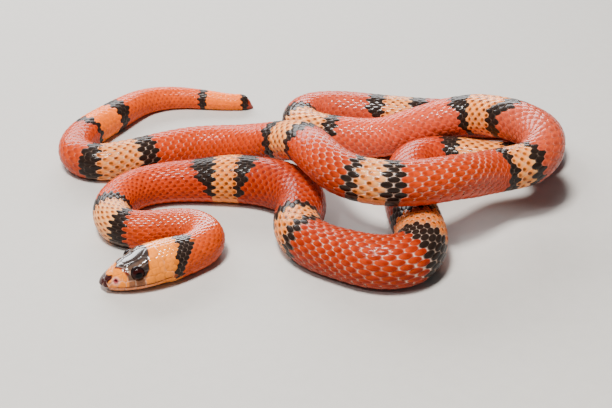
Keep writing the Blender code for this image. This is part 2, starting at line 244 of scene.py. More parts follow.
# Red's own depth with painted shade and painted light: station, share of its full brightness
DEPTH_AND_PAINTED_LIGHT = [
    (0, 0.95), (30, 0.90), (45, 0.80), (65, 0.78), (90, 0.90), (117, 0.88), (132, 0.72), (145, 0.60),
    (165, 0.56), (190, 0.56), (222, 0.60), (232, 0.22), (243, 0.24), (250, 0.45), (262, 0.65),
    (300, 0.75), (420, 0.78), (455, 0.95), (477, 1.0), (484, 1.12), (495, 1.18), (520, 1.10),
    (560, 0.80), (590, 0.82), (618, 0.90), (632, 0.84), (650, 0.60), (660, 0.74), (690, 0.92),
    (745, 0.90), (770, 0.72), (790, 0.78), (815, 1.0), (872, 1.05), (878, 0.6), (880, 0.45),
]
# How glossy the scales are: station, weight of the clear coat
GLOSS = [
    (0, 0.22), (150, 0.15), (240, 0.15), (300, 0.22), (430, 0.30), (600, 0.30), (625, 0.20),
    (880, 0.20),
]
# Painted sheen: how far the red is paled towards a pinkish white on the far strands: station, share
PAINTED_SHEEN = [
    (0, 0.0), (35, 0.0), (48, 0.02), (65, 0.0), (400, 0.02), (430, 0.07), (480, 0.06), (540, 0.09),
    (575, 0.07), (592, 0.01), (612, 0.0), (760, 0.0), (775, 0.02), (795, 0.0), (880, 0.0),
]
# How dark the spots at the tips of the red scales are: station, share
RED_SPOTS = [(0, 0.3), (50, 0.5), (90, 0.8), (160, 0.8), (190, 0.4), (300, 0.4), (880, 0.4)]

# How much the scales differ from each other
SIZE_SPREAD = (0.96, 1.04)
DOME_SPREAD = (0.85, 1.1)
SHADE_SPREAD = (0.90, 1.06)
SPOT_SPREAD = (0.7, 1.0)
RING_SPREAD = (0.6, 1.0)
SCUTE_SHADE_SPREAD = (0.94, 1.05)
BELLY_SEED = 71
# Stations over which the pale scales gain their spots behind the head and lose them on the tail
SPOTS_BEGIN = (26, 60)
SPOTS_END = (776, 796)
HEAD_MARKS_END = 45

# Colours
RED = (0.54, 0.026, 0.001)
ORANGE_RED = (0.70, 0.080, 0.002)
RED_TIP = (0.14, 0.008, 0.003)
IVORY = (0.92, 0.50, 0.20)
GOLD = (0.95, 0.245, 0.004)
ORANGE_PALE = (0.97, 0.155, 0.001)
PALE_TIP = (0.065, 0.012, 0.004)
RING_BROWN = (0.74, 0.20, 0.022)
# Pinkish white of the painted sheen
SHEEN_PINK = (0.95, 0.50, 0.34)
BLACK = (0.019, 0.011, 0.008)
BLACK_TIP = (0.008, 0.006, 0.006)
NET = (0.86, 0.60, 0.46)

# Colours of the head
MAROON = (0.036, 0.006, 0.005)
SNOUT_BROWN = (0.40, 0.14, 0.07)
CAP = (0.026, 0.016, 0.013)
CAP_BROWN = (0.11, 0.060, 0.038)
CAP_EDGE = (0.13, 0.018, 0.007)
PREOCULAR_TAN = (0.42, 0.24, 0.14)
LIP_BROWN = (0.19, 0.075, 0.038)
JAW_PINK = (0.78, 0.30, 0.16)
MOUTH_RED = (0.20, 0.04, 0.02)
NOSTRIL_RED = (0.24, 0.016, 0.028)
NOSTRIL_PINK = (0.80, 0.42, 0.36)
PALE_SEAM = (0.80, 0.50, 0.36)
# Pale grey of the plates' edges on the cap, partly painted glints along them
GREY_SEAM_AND_GLINT = (0.36, 0.28, 0.25)

# Edges of the markings of the head: share of the way from the crown down to the mouth, station
SNOUT_REAR = [
    (0, 2.2), (0.17, 2.8), (0.28, 3.4), (0.42, 4.5), (0.57, 4.5), (0.63, 3.5), (0.76, 3.1), (1, 3.3),
]
CAP_FRONT = [(0, 5.7), (0.17, 5.3), (0.28, 6.4), (0.38, 7.2), (0.51, 7.8), (0.62, 8.2), (0.76, 8.5)]
CAP_REAR = [
    (0, 15.4), (0.21, 15.1), (0.37, 14.5), (0.48, 14.2), (0.65, 14.0), (0.76, 13.1), (0.85, 12.6),
]
NECK_FRONT = [(0, 24.3), (0.3, 23.8), (0.6, 22.6), (0.9, 21.6), (1.2, 21.0)]
NECK_REAR = [(0, 29.8), (0.3, 29.0), (0.6, 27.0), (0.9, 25.2), (1.2, 24.0)]

# Fineness of the curves and the meshes
CURVE_STEPS = 4000
ROUTE_STEPS = 9000
PITCH_STEPS = 8800
HEAD_RINGS = 190
HEAD_RINGS_CROWDED = 1.5
HEAD_SIDES = 240
FIRST_BODY_RING = 0.4
BODY_STEP = 1.3
BODY_SIDES = 80
OUTLINE = 16
SCUTE_STEPS = 22
UNWRAP_FOLDS = 4
UNWRAPPED_HEAD = 2.0
MAP_MARGIN = 0.01
STRIP_MARGIN = 0.04
PATCH = 0.003
SCALES_IN_A_PIECE = 1500
SHARP_ANGLE = math.radians(50)

# Lamps: place, width, height, energy, colour. A small one overhead, and a wide low one behind for the
# sheen on the backs.
LAMPS = {
    "overhead": ((-0.14, -0.20, 0.78), 0.18, 0.18, 14.5, (1.0, 0.97, 0.93)),
    "behind": ((-0.20, 0.62, 0.36), 0.95, 0.24, 12.0, (0.97, 0.98, 1.0)),
    "glint": ((-0.30, -0.42, 0.62), 0.03, 0.03, 1.2, (1.0, 1.0, 1.0)),
}
SKY_COLOUR = (0.92, 0.96, 1.0, 1)
SKY_STRENGTH = 0.15
FLOOR_SIZE = 4.0
CAMERA_LENS = 64.7
CAMERA_PLACE = (-0.0026, -0.3457, 0.1917)
CAMERA_TILT = math.radians(60)


# Curves through named points

def natural_spline(places, values, wanted):
    """Smooth curve through the values at the places, read at the wanted places."""
    count = len(places)
    step = np.diff(places)
    matrix = np.eye(count)
    right = np.zeros_like(values)
    slope = np.diff(values, axis=0) / step[:, None]
    for i in range(1, count - 1):
        matrix[i, i - 1:i + 2] = step[i - 1], 2 * (step[i - 1] + step[i]), step[i]
        right[i] = 6 * (slope[i] - slope[i - 1])
    bend = np.linalg.solve(matrix, right)
    i = np.clip(np.searchsorted(places, wanted) - 1, 0, count - 2)
    width = step[i][:, None]
    after = (wanted - places[i])[:, None]
    before = width - after
    curved = (bend[i] * before**3 + bend[i + 1] * after**3) / (6 * width)
    first = (values[i] / width - bend[i] * width / 6) * before
    second = (values[i + 1] / width - bend[i + 1] * width / 6) * after
    return curved + first + second


def steady_curve(places, values, wanted):
    """Curve through the values that never swings past them, so that level stretches stay level."""
    step = np.diff(places)
    slope = np.diff(values) / step
    lean = np.zeros(len(places))
    for i in range(1, len(places) - 1):
        if slope[i - 1] * slope[i] > 0:
            near = 2 * step[i] + step[i - 1]
            far = step[i] + 2 * step[i - 1]
            lean[i] = (near + far) / (near / slope[i - 1] + far / slope[i])
    wanted = np.clip(wanted, places[0], places[-1])
    i = np.clip(np.searchsorted(places, wanted) - 1, 0, len(places) - 2)
    t = (wanted - places[i]) / step[i]
    start = (1 + 2 * t) * (1 - t) ** 2 * values[i] + t * (1 - t) ** 2 * step[i] * lean[i]
    end = t**2 * (3 - 2 * t) * values[i + 1] - t**2 * (1 - t) * step[i] * lean[i + 1]
    return start + end


def curve_of(rows, column=1):
    """A function of the station that reads one column of a table of sizes."""
    table = np.array(rows, float)
    fine = np.linspace(table[0, 0], table[-1, 0], CURVE_STEPS)
    values = steady_curve(table[:, 0], table[:, column], fine)
    return lambda station: np.interp(station, fine, values)


def smooth(value, low, high):
    """0 below the low value, 1 above the high one, and a soft step between."""
    t = np.clip((value - low) / (high - low), 0.0, 1.0)
    return t * t * (3 - 2 * t)


def bell(value, width):
    """1 at a value of 0, falling softly to nothing a few widths away."""
    return np.exp(-((value / width) ** 2))


def blend(first, second, share):
    """A mix of two colours, or of two lists of them, by shares."""
    share = np.asarray(share, float)[..., None]
    return np.asarray(first) * (1 - share) + np.asarray(second) * share


girth = curve_of(GIRTH)
head_width = curve_of(HEAD_SHAPE, 1)
head_crown = curve_of(HEAD_SHAPE, 2)
head_mouth = curve_of(HEAD_SHAPE, 3)
pitch = curve_of(PITCH)
stretch = curve_of(STRETCH)
half_share = curve_of(SCALE_HALF_LENGTH)
roll = curve_of(ROLL)
orange = curve_of(ORANGE)
warmth = curve_of(WARMTH)
depth_and_painted_light = curve_of(DEPTH_AND_PAINTED_LIGHT)
gloss = curve_of(GLOSS)
painted_sheen = curve_of(PAINTED_SHEEN)
red_spots = curve_of(RED_SPOTS)
snout_rear = curve_of(SNOUT_REAR)
cap_front = curve_of(CAP_FRONT)
cap_rear = curve_of(CAP_REAR)
neck_front = curve_of(NECK_FRONT)
neck_rear = curve_of(NECK_REAR)


# Route

def trace_route():
    """Stations, places and directions along the belly line."""
    points = np.array(ROUTE, float)
    points[:, :2] += PLACE
    chord = np.linalg.norm(np.diff(points[:, :2], axis=0), axis=1)
    places = np.concatenate([[0], np.cumsum(chord)])
    fine = np.linspace(0, places[-1], ROUTE_STEPS)
    flat = natural_spline(places, points[:, :2], fine)
    lift = steady_curve(places, points[:, 2], fine)
    window = np.hanning(int(LIFT_SOFTNESS / places[-1] * len(fine)))
    lift = np.convolve(lift, window / window.sum(), "same")
    path = np.column_stack([flat, lift])
    steps = np.linalg.norm(np.diff(path, axis=0), axis=1)
    station = np.concatenate([[0], np.cumsum(steps)])
    station *= TOTAL_LENGTH / station[-1]
    return station, path, unit(np.gradient(path, axis=0))


def unit(vectors):
    return vectors / np.maximum(np.linalg.norm(vectors, axis=-1, keepdims=True), 1e-12)


ROUTE_STATION, ROUTE_PATH, ROUTE_DIRECTION = trace_route()


def read_route(station, values):
    return np.stack([np.interp(station, ROUTE_STATION, column) for column in values.T], axis=-1)


def route_frame(station):
    """Places on the belly line, and the directions along, left and up."""
    along = unit(read_route(station, ROUTE_DIRECTION))
    left = unit(np.cross([0.0, 0.0, 1.0], along))
    return read_route(station, ROUTE_PATH), along, left, np.cross(along, left)


# Sections. The angle goes from 0 on the spine over 1 at the widest level to 2 under the belly.

def power(value, exponent):
    return np.sign(value) * np.abs(value) ** exponent


def belly_half(turn, deep):
    return -deep * np.minimum(1.0, BELLY_FLATNESS * np.abs(np.sin(turn)) ** BELLY_ROUNDNESS)


def body_section(station, angle):
    to_tip = np.clip((TOTAL_LENGTH - station) / TAIL_TIP_LENGTH, 0.0, 1.0)
    width = girth(station) * np.sqrt(np.maximum(0.0, 1 - (1 - to_tip) ** 2))
    turn = math.pi / 2 * (1 - angle)
    left = 0.5 * width * power(np.cos(turn), BODY_ROUNDNESS)
    above = (HIGH - WAIST) * width * np.sin(turn)
    return left, WAIST * width + np.where(turn < 0, belly_half(turn, WAIST * width), above)


def closed_mouth(station):
    return np.clip((MOUTH_END - station) / 2, 0.0, 1.0)


def head_section(station, angle):
    width = head_width(station)
    crown = head_crown(station)
    mouth = head_mouth(station)
    nose = np.sqrt(1 - (1 - np.minimum(1.0, station / NOSE_LENGTH)) ** 2)
    roundness = CROWN_ROUNDNESS + (1 - CROWN_ROUNDNESS) * np.minimum(1.0, station / HEAD_END) ** 2
    turn = math.pi / 2 * (1 - angle)
    brow = BROW_RISE * bell(station - BROW_STATION, BROW_LENGTH) * bell(turn - BROW_TURN, BROW_WIDTH)
    left = nose * (0.5 * width * power(np.cos(turn), roundness) + brow)
    up = mouth + nose * ((crown - mouth) * power(np.sin(turn), roundness) + 0.5 * brow)
    jaw = nose * 0.5 * width * power(np.cos(turn), BELLY_ROUNDNESS)
    left = np.where(turn < 0, jaw, left)
    up = np.where(turn < 0, mouth + nose * belly_half(turn, mouth), up)
    below = smooth(angle, 0.99, 1.05)
    narrower = 1 - (1 - JAW_NARROWER) * closed_mouth(station)
    back = JAW_RECESS * (1 - np.minimum(1.0, station / (2 * NOSE_LENGTH))) * below
    return left * (1 - below) + jaw * narrower * below, up, back


def section(station, angle):
    """How far left, up and back along the body the section's points are."""
    body_left, body_up = body_section(station, angle)
    left, up, back = head_section(station, angle)
    share = smooth(station, *HEAD_TO_BODY)
    return left * (1 - share) + body_left * share, up * (1 - share) + body_up * share, back


def measure_half_round():
    """Share of the half way round at each angle on the body, and that way's length by station."""
    angle = np.linspace(0, 2, 401)
    left, up = body_section(np.full_like(angle, 300.0), angle)
    way = np.concatenate([[0], np.cumsum(np.hypot(np.diff(left), np.diff(up)))])
    stations = np.arange(0.0, TOTAL_LENGTH)
    left, up, _ = section(stations[:, None], angle[None, :])
    length = np.hypot(np.diff(left, axis=1), np.diff(up, axis=1)).sum(axis=1)
    return angle, way / way[-1], stations, length


ANGLES, WAYS, LENGTH_STATIONS, HALF_LENGTHS = measure_half_round()
AT_MOUTH = float(np.interp(1.0, ANGLES, WAYS))


def half_length(station):
    return np.interp(station, LENGTH_STATIONS, HALF_LENGTHS)


def wrapped(round_at):
    return (round_at + 1) % 2 - 1


def from_spine(round_at):
    """0 on the spine and 1 at the middle of the belly."""
    return np.abs(wrapped(round_at))


def surface(station, round_at):
    """Points on the swept section."""
    round_at = wrapped(round_at)
    left, up, back = section(station, np.interp(np.abs(round_at), WAYS, ANGLES))
    place, along, side, above = route_frame(station)
    left = np.where(round_at < 0, -left, left)
    return place + along * back[..., None] + side * left[..., None] + above * up[..., None]


def outward(station, round_at):
    """Directions straight out of the swept section, and how long a millimetre of station is there."""
    small = 0.05
    behind = np.minimum(station + small, TOTAL_LENGTH - 0.02)
    before = np.maximum(station - small, 0.02)
    along = (surface(behind, round_at) - surface(before, round_at)) / (behind - before)[..., None]
    turn = small / half_length(station)
    across = surface(station, round_at + turn) - surface(station, round_at - turn)
    return unit(np.cross(along, across)), np.linalg.norm(along, axis=-1)


def raised(station, round_at, height):
    """Points at a height over the swept section."""
    normal, _ = outward(np.maximum(station, 0.25), round_at)
    return surface(station, round_at) + normal * np.asarray(height)[..., None]


def round_at_height(station, height):
    """Where round the left half of the head its surface is at a height above the floor."""
    angle = np.linspace(0, 1, 400)
    _, up, _ = head_section(np.full_like(angle, station), angle)
    return float(np.interp(np.interp(height, up[::-1], angle[::-1]), ANGLES, WAYS))


# Markings

def body_marking(station, round_at):
    """Shares of black and of pale on the body behind the head."""
    bands = np.array(BANDS)
    middle = (bands[:, 1] + bands[:, 2]) / 2
    nearest = np.abs(np.asarray(station)[..., None] - middle).argmin(axis=-1)
    start, pale_start, pale_end, end, narrowing, widening = np.moveaxis(bands[nearest], -1, 0)
    below = smooth(from_spine(round_at), 0.1, 0.7) * narrowing
    wider = (1 - smooth(from_spine(round_at), 0.05, 0.4)) * widening
    black_start = start + below * (pale_start - start) - wider
    black_end = end - below * (end - pale_end) + wider
    pale = (station > pale_start - wider) & (station < pale_end + wider)
    black = (station > black_start) & (station < black_end) & ~pale
    return black.astype(float), pale.astype(float)


def between(station, start, end, softness=0.26):
    """1 between two edges, 0 outside them, with soft steps."""
    after = smooth(station, start - softness, start + softness)
    return after * (1 - smooth(station, end - softness, end + softness))


def way_down(round_at):
    """How far down from the crown to the line of the mouth, which is 1."""
    return from_spine(round_at) / AT_MOUTH


def head_marking(station, round_at):
    """Shares of black and of pale on the head and the start of the neck."""
    down = way_down(round_at)
    cap = between(station, cap_front(down), cap_rear(down)) * (1 - smooth(down, 0.76, 0.84))
    end = neck_rear(down)
    neck = between(station, neck_front(down), end, 0.3) * (1 - smooth(down, 1.15, 1.35))
    black = np.maximum(cap, neck)
    return black, (1 - black) * (1 - smooth(station, end - 0.3, end + 0.3))


def marking(station, round_at):
    """Shares of black and of pale anywhere."""
    on_head = station < HEAD_MARKS_END
    pairs = zip(head_marking(station, round_at), body_marking(station, round_at))
    return [np.where(on_head, head, body) for head, body in pairs]


def with_painted_light(colour, station):
    """A pale colour, made a little darker or lighter with the red's depth and its painted shade and
    light.
    """
    return colour * (0.35 + 0.65 * depth_and_painted_light(station))[..., None]


def pale_colour(station, belly):
    """Ivory, gold or orange, paler on the belly."""
    hue = orange(station) * (1 - 0.5 * belly)
    low = blend(IVORY, GOLD, np.minimum(1, 2 * hue))
    # The pale bands carry the same painted shade and painted light as the red.
    return with_painted_light(blend(low, ORANGE_PALE, np.maximum(0, 2 * hue - 1)), station)


def spotted(station):
    """1 where the pale scales have dark spots and ivory fronts: not on the head and the tail."""
    return smooth(station, *SPOTS_BEGIN) * (1 - smooth(station, *SPOTS_END))


def tint(station, round_at):
    """Colours of a scale's root, middle and tip, and how strong the spot at the tip is."""
    black, pale = marking(station, round_at)
    light = pale_colour(station, smooth(from_spine(round_at), 0.62, 0.8))
    # The red's own depth, with painted shade and painted light along the body.
    red = blend(RED, ORANGE_RED, warmth(station)) * depth_and_painted_light(station)[..., None]
    # A painted sheen pales the red on the far strands.
    red = blend(red, SHEEN_PINK, painted_sheen(station))
    # The ivory fronts carry the painted shade and painted light as well.
    front = blend(light, with_painted_light(np.array(IVORY), station), 0.6 * spotted(station))
    warm = blend(light, ORANGE_PALE, 0.30 * spotted(station))
    root = blend(blend(blend(red, ORANGE_RED, 0.3), front, pale), BLACK, black)
    main = blend(blend(red, warm, pale), BLACK, black)
    tip = blend(blend(RED_TIP, PALE_TIP, pale), BLACK_TIP, black)
    return root, main, tip, red_spots(station) * (1 - pale) + 0.95 * pale * spotted(station)


# Meshes from arrays

def add_object(name, data):
    thing = bpy.data.objects.new(name, data)
    bpy.context.scene.collection.objects.link(thing)
    return thing


def add_mesh(name, points, faces, material, attributes, uvs):
    """A smooth object from points in millimetres, with values for each point and a map by corners."""
    mesh = bpy.data.meshes.new(name)
    sizes = np.array([len(face) for face in faces])
    corners = np.concatenate(faces)
    mesh.vertices.add(len(points))
    mesh.vertices.foreach_set("co", (points * MM).astype(np.float32).ravel())
    mesh.loops.add(len(corners))
    mesh.loops.foreach_set("vertex_index", corners.astype(np.int32))
    mesh.polygons.add(len(sizes))
    starts = np.concatenate([[0], np.cumsum(sizes)[:-1]])
    mesh.polygons.foreach_set("loop_start", starts.astype(np.int32))
    mesh.update(calc_edges=True)
    for word, values in attributes.items():
        kind, field = ("FLOAT_COLOR", "color") if values.shape[1] == 4 else ("FLOAT_VECTOR", "vector")
        layer = mesh.attributes.new(word, kind, "POINT")
        layer.data.foreach_set(field, values.astype(np.float32).ravel())
    layer = mesh.uv_layers.new(name="OFBake")
    layer.data.foreach_set("uv", uvs.astype(np.float32).ravel())
    mesh.materials.append(material)
    mesh.shade_smooth()
    return add_object(name, mesh)


def with_alpha(colours, alpha):
    return np.column_stack([np.minimum(colours, 1.0), np.broadcast_to(alpha, len(colours))])


def grid_faces(rings, sides, first):
    """Quads between rings, each corner given as ring and step so that the map can run past the seam."""
    ring, step = np.meshgrid(np.arange(rings - 1), np.arange(sides), indexing="ij")
    ring = ring.reshape(-1, 1) + np.array([0, 1, 1, 0])
    step = step.reshape(-1, 1) + np.array([0, 0, 1, 1])
    return list(first + ring * sides + step % sides), ring, step


def fan_faces(first, sides, point, order):
    """Triangles from a ring to one point, with the steps round the ring of their corners."""
    step = np.arange(sides)[:, None] + np.array(order)
    faces = np.column_stack([first + step % sides, np.full(sides, point)])
    return list(faces), np.column_stack([step, np.arange(sides) + 0.5])


def in_strips(station):
    """How many strips of the unwrapped skin lie before a station, with the head drawn longer there."""
    head = HEAD_END * (UNWRAPPED_HEAD - 1)
    longer = station + np.minimum(station, HEAD_END) * (UNWRAPPED_HEAD - 1)
    return longer / (TOTAL_LENGTH + head) * UNWRAP_FOLDS


def unwrapped(station, round_at, fold):
    """Place on the unwrapped skin, which is folded into a few strips side by side."""
    across = MAP_MARGIN + (1 - 2 * MAP_MARGIN) * (in_strips(station) - fold)
    upward = STRIP_MARGIN + (1 - 2 * STRIP_MARGIN) * (round_at + 1) / 2
    return np.stack([across, (fold + upward) / UNWRAP_FOLDS], axis=-1)


def fold_of(station):
    return np.clip(np.floor(in_strips(station)), 0, UNWRAP_FOLDS - 1)


# Head

def plate_sites():
    """Places of the plates in space, with a number for each plate, a twin having its own."""
    stations = []
    rounds = []
    numbers = []
    plates = list(PLATES.values()) + [[lip] for lip in UPPER_LIPS + LOWER_LIPS]
    for number, places in enumerate(plates):
        alone = any(angle in (0.0, 2.0) for _, angle in places)
        for station, angle in places:
            at = float(np.interp(angle, ANGLES, WAYS))
            stations += [station, station]
            rounds += [at, -at]
            numbers += [number, number if alone else number + len(plates)]
    return surface(np.array(stations), np.array(rounds)), np.array(numbers)


def plate_edges(points):
    """How far each point is from the edge of its plate."""
    sites, numbers = plate_sites()
    apart = np.linalg.norm(points[:, None, :] - sites[None, :, :], axis=2)
    first = apart.argmin(axis=1)
    others = np.where(numbers[None, :] == numbers[first][:, None], np.inf, apart)
    across = np.linalg.norm(sites[first] - sites[others.argmin(axis=1)], axis=1)
    return (others.min(axis=1) ** 2 - apart.min(axis=1) ** 2) / (2 * across)


def coat_start(round_at):
    """Station where scales take over from the plates of the head."""
    start = CROWN_COAT_START
    for step, above, below in COAT_STEPS:
        start = start + step * smooth(way_down(round_at), above, below)
    return start


def coat_share(station, round_at):
    """0 on the plates of the head and 1 under the scales."""
    return smooth(station - coat_start(round_at), 0.0, 1.2)


def eye_centre(side):
    """Centre of an eye, and the way it looks, with the side -1 for the left eye and 1 for the right."""
    at = round_at_height(EYE_STATION, EYE_HEIGHT)
    place, _, left, up = route_frame(np.array(EYE_STATION))
    edge = surface(np.array(EYE_STATION), np.array(side * at))
    out = abs(float((edge - place) @ left)) - EYE_DIAMETER / 2 + EYE_SHOWING
    return place + left * side * out + up * EYE_HEIGHT, left * side


def near_spot(points, station, down, radius):
    """1 near a named place on either side of the head, softly falling to 0 at the radius."""
    share = np.zeros(len(points))
    for side in (1, -1):
        spot = surface(np.array(station), np.array(side * down * AT_MOUTH))
        away = np.linalg.norm(points - spot, axis=1)
        share = np.maximum(share, 1 - smooth(away, 0.55 * radius, 1.25 * radius))
    return share


def from_eye(points):
    """Distance of each point from the axis of the nearer eye."""
    nearest = np.full(len(points), np.inf)
    for side in (1, -1):
        centre, look = eye_centre(side)
        away = np.linalg.norm(np.cross(points - centre, look), axis=1)
        outside = ((points - centre) @ look) > -EYE_DIAMETER / 2
        nearest = np.where(outside, np.minimum(nearest, away), nearest)
    return nearest


def nostril_place():
    return NOSTRIL_STATION, round_at_height(NOSTRIL_STATION, NOSTRIL_HEIGHT) / AT_MOUTH


def mouth_line(station, round_at, width):
    """1 on the line of the mouth, falling softly over the width, and nothing at the very tip."""
    away = (from_spine(round_at) - AT_MOUTH) * half_length(np.maximum(station, 2.0))
    return bell(away, width) * closed_mouth(station) * smooth(station, 0.4, 1.6)


def head_relief(station, round_at, points):
    """Height of the skin on the head: plates with seams, mouth, nostrils and rims of the eyes."""
    edge = plate_edges(points)
    height = PLATE_TOP - SEAM_DEPTH * bell(edge, SEAM_WIDTH) - 0.05 * bell(edge, 0.5)
    height = height - MOUTH_DEPTH * mouth_line(station, round_at, MOUTH_WIDTH)
    height = height - NOSTRIL_DEPTH * near_spot(points, *nostril_place(), NOSTRIL_RADIUS)
    away = from_eye(points)
    for rise, radius, width in EYE_RINGS:
        height = height + rise * bell(away - radius, width)
    height = height - SOCKET_DEPTH * (1 - smooth(away, *SOCKET_EDGE))
    to_coat = coat_share(station, round_at)
    return height * (1 - to_coat) + SKIN_UNDER_SCALES * to_coat


def cap_colours(station, down, main, black):
    """The cap: a dark red front edge, a pale grey line behind it that is partly a painted glint, and
    brown before and above the eye.
    """
    behind = station - cap_front(down)
    on_side = smooth(down, 0.12, 0.22) * (1 - smooth(down, 0.56, 0.66))
    brown = between(station, 7.0, 10.4, 0.8) * smooth(down, 0.24, 0.36)
    brown = np.maximum(brown, between(station, 10.0, 13.2, 0.6) * between(down, 0.30, 0.52, 0.06))
    shade = blend(CAP, CAP_BROWN, 0.8 * brown)
    # A pale grey line behind the front edge, partly a painted glint.
    shade = blend(shade, GREY_SEAM_AND_GLINT, 0.8 * on_side * between(behind, 0.85, 1.1, 0.12))
    shade = blend(shade, CAP_EDGE, on_side * (1 - smooth(behind, 0.65, 0.85)))
    return blend(main, shade, black * (1 - smooth(station, 16, 18)))


def head_colours(station, round_at, points):
    """Colours of the skin on the head."""
    black, _ = head_marking(station, round_at)
    down = way_down(round_at)
    main = cap_colours(station, down, tint(station, round_at)[1], black)
    main = blend(main, PREOCULAR_TAN, 0.9 * near_spot(points, 9.0, 0.52, 0.55))
    lip = between(down, 0.79, 1.02, 0.03)
    main = blend(main, LIP_BROWN, 0.92 * lip * between(station, 8.5, 12.7, 0.25))
    jaw = smooth(down, 0.99, 1.05)
    main = blend(main, JAW_PINK, 0.7 * jaw * (1 - smooth(station, 12, 20)))
    snout = (1 - smooth(station - snout_rear(down), -0.25, 0.25)) * (1 - 0.8 * jaw)
    main = blend(main, MAROON, snout)
    main = blend(main, SNOUT_BROWN, 0.8 * near_spot(points, 3.9, 0.82, 0.9) * (1 - jaw))
    nostril = nostril_place()
    main = blend(main, NOSTRIL_PINK, 0.75 * near_spot(points, *nostril, 1.5))
    main = blend(main, NOSTRIL_RED, 0.95 * near_spot(points, *nostril, 1.0))
    seam = bell(plate_edges(points), 0.12) * (1 - near_spot(points, *nostril, 0.9))
    pale_seam = (1 - black) * (1 - smooth(station, 12.5, 14.5)) * smooth(down, 0.55, 0.8)
    main = blend(main, PALE_SEAM, 0.65 * seam * pale_seam)
    # Pale grey seams on the cap, partly painted glints on the plates' edges.
    main = blend(main, GREY_SEAM_AND_GLINT, 0.25 * seam * black)
    main = blend(main, MOUTH_RED, 0.8 * mouth_line(station, round_at, 0.22))
    return blend(main, main * 0.6, 0.5 * seam * (1 - black) * (1 - pale_seam))


def head_gloss(station, round_at):
    """How strongly the head shines: most on the crown, least on the snout and the cheeks."""
    down = way_down(round_at)
    return 0.2 + 0.8 * (1 - smooth(down, 0.40, 0.70)) * smooth(station, 0.5, 3.0)


# Skin

def skin_rows():
    """Stations of the rings, close on the head and wider apart behind it."""
    head = HEAD_END * (np.arange(1, HEAD_RINGS + 1) / HEAD_RINGS) ** HEAD_RINGS_CROWDED
    tip_start = TOTAL_LENGTH - TAIL_TIP_LENGTH
    count = int((tip_start - HEAD_END) / BODY_STEP)
    body = np.linspace(HEAD_END + FIRST_BODY_RING, tip_start, count)
    return head, np.concatenate([body, TOTAL_LENGTH - TAIL_TIP_LENGTH * np.array(TAIL_TIP_RINGS)])


def ring_grid(stations, sides):
    around = -1 + 2 * np.arange(sides) / sides
    return np.repeat(stations, sides), np.tile(around, len(stations))


def skin_colours(station, round_at):
    """Skin between the scales, pale where it is stretched and else much like the scales."""
    black, _ = marking(station, round_at)
    open_net = np.minimum(1.0, 1.6 * stretch(station))
    share = (0.35 + 0.6 * open_net) * (1 - smooth(station, 862, 872))
    return blend(tint(station, round_at)[1], NET, share * (1 - 0.6 * black * (1 - open_net)))


def make_skin(material):
    """The one skin, from the snout to the tip of the tail."""
    head_rows, body_rows = skin_rows()
    station, around = ring_grid(head_rows, HEAD_SIDES)
    swept = surface(station, around)
    head_points = raised(station, around, head_relief(station, around, swept))
    head_shade = head_colours(station, around, swept)
    head_shade = blend(head_shade, skin_colours(station, around), coat_share(station, around))
    gloss_of_head = head_gloss(station, around)
    station, around = ring_grid(body_rows, BODY_SIDES)
    _, long = outward(station, around)
    low = np.where(np.abs(around) > BELLY_SKIN_FROM, SCUTE_FRONT, SKIN_UNDER_SCALES)
    body_points = raised(station, around, low - SKIN_IN_FOLDS * (1 - smooth(long, *FOLDED)))
    body_shade = skin_colours(station, around)
    snout = surface(np.array([0.0]), np.array([AT_MOUTH]))
    tail_at = np.array([TOTAL_LENGTH])
    tail_end = surface(tail_at, np.array([0.0])) - unit(read_route(tail_at, ROUTE_DIRECTION)) * 0.3
    tail_end[:, 2] += 0.3 * WAIST * girth(TOTAL_LENGTH)
    points = np.concatenate([head_points, body_points, snout, tail_end])
    shade = np.concatenate([head_shade, body_shade, [MAROON], body_shade[-1:]])
    faces, uvs = skin_faces(head_rows, body_rows)
    shine = np.concatenate([gloss_of_head, np.full(len(body_points) + 2, 0.4)])
    return add_mesh("skin", points, faces, material, {"tint": with_alpha(shade, shine)}, uvs)


def skin_faces(head_rows, body_rows):
    """Faces of the skin and their places on the map."""
    head_count = len(head_rows) * HEAD_SIDES
    body_count = len(body_rows) * BODY_SIDES
    faces = []
    maps = []
    for rows, sides, first in ((head_rows, HEAD_SIDES, 0), (body_rows, BODY_SIDES, head_count)):
        quads, ring, step = grid_faces(len(rows), sides, first)
        fold = fold_of(rows[ring].mean(axis=1))[:, None]
        faces += quads
        maps.append(unwrapped(rows[ring], -1 + 2 * step / sides, fold).reshape(-1, 2))
    # Each step of the body's first ring meets three steps of the head's last one. A corner is given
    # as 0 on the head or 1 on the body, and as steps of the head.
    join = [[(0, 0), (1, 0), (0, 1)], [(0, 1), (1, 0), (1, 3), (0, 2)], [(0, 2), (1, 3), (0, 3)]]
    ratio = HEAD_SIDES // BODY_SIDES
    for start in range(0, HEAD_SIDES, ratio):
        for corners in join:
            on_body, step = np.array(corners).T
            step = step + start
            head = head_count - HEAD_SIDES + step % HEAD_SIDES
            body = head_count + step // ratio % BODY_SIDES
            faces.append(np.where(on_body, body, head))
            station = np.where(on_body, body_rows[0], head_rows[-1])
            maps.append(unwrapped(station, -1 + 2 * step / HEAD_SIDES, 0))
    snout = head_count + body_count
    head_end = (0, HEAD_SIDES, snout, (0, 1)), (head_rows[0], head_rows[0], 0.0), 0
    tail = (snout - BODY_SIDES, BODY_SIDES, snout + 1, (1, 0))
    tail_end = tail, (body_rows[-1], body_rows[-1], TOTAL_LENGTH), UNWRAP_FOLDS - 1
    for fan, stations, fold in (head_end, tail_end):
        triangles, step = fan_faces(*fan)
        faces += triangles
        station = np.broadcast_to(stations, step.shape)
        maps.append(unwrapped(station, -1 + 2 * step / len(step), fold).reshape(-1, 2))
    return faces, np.concatenate(maps)


# Scales

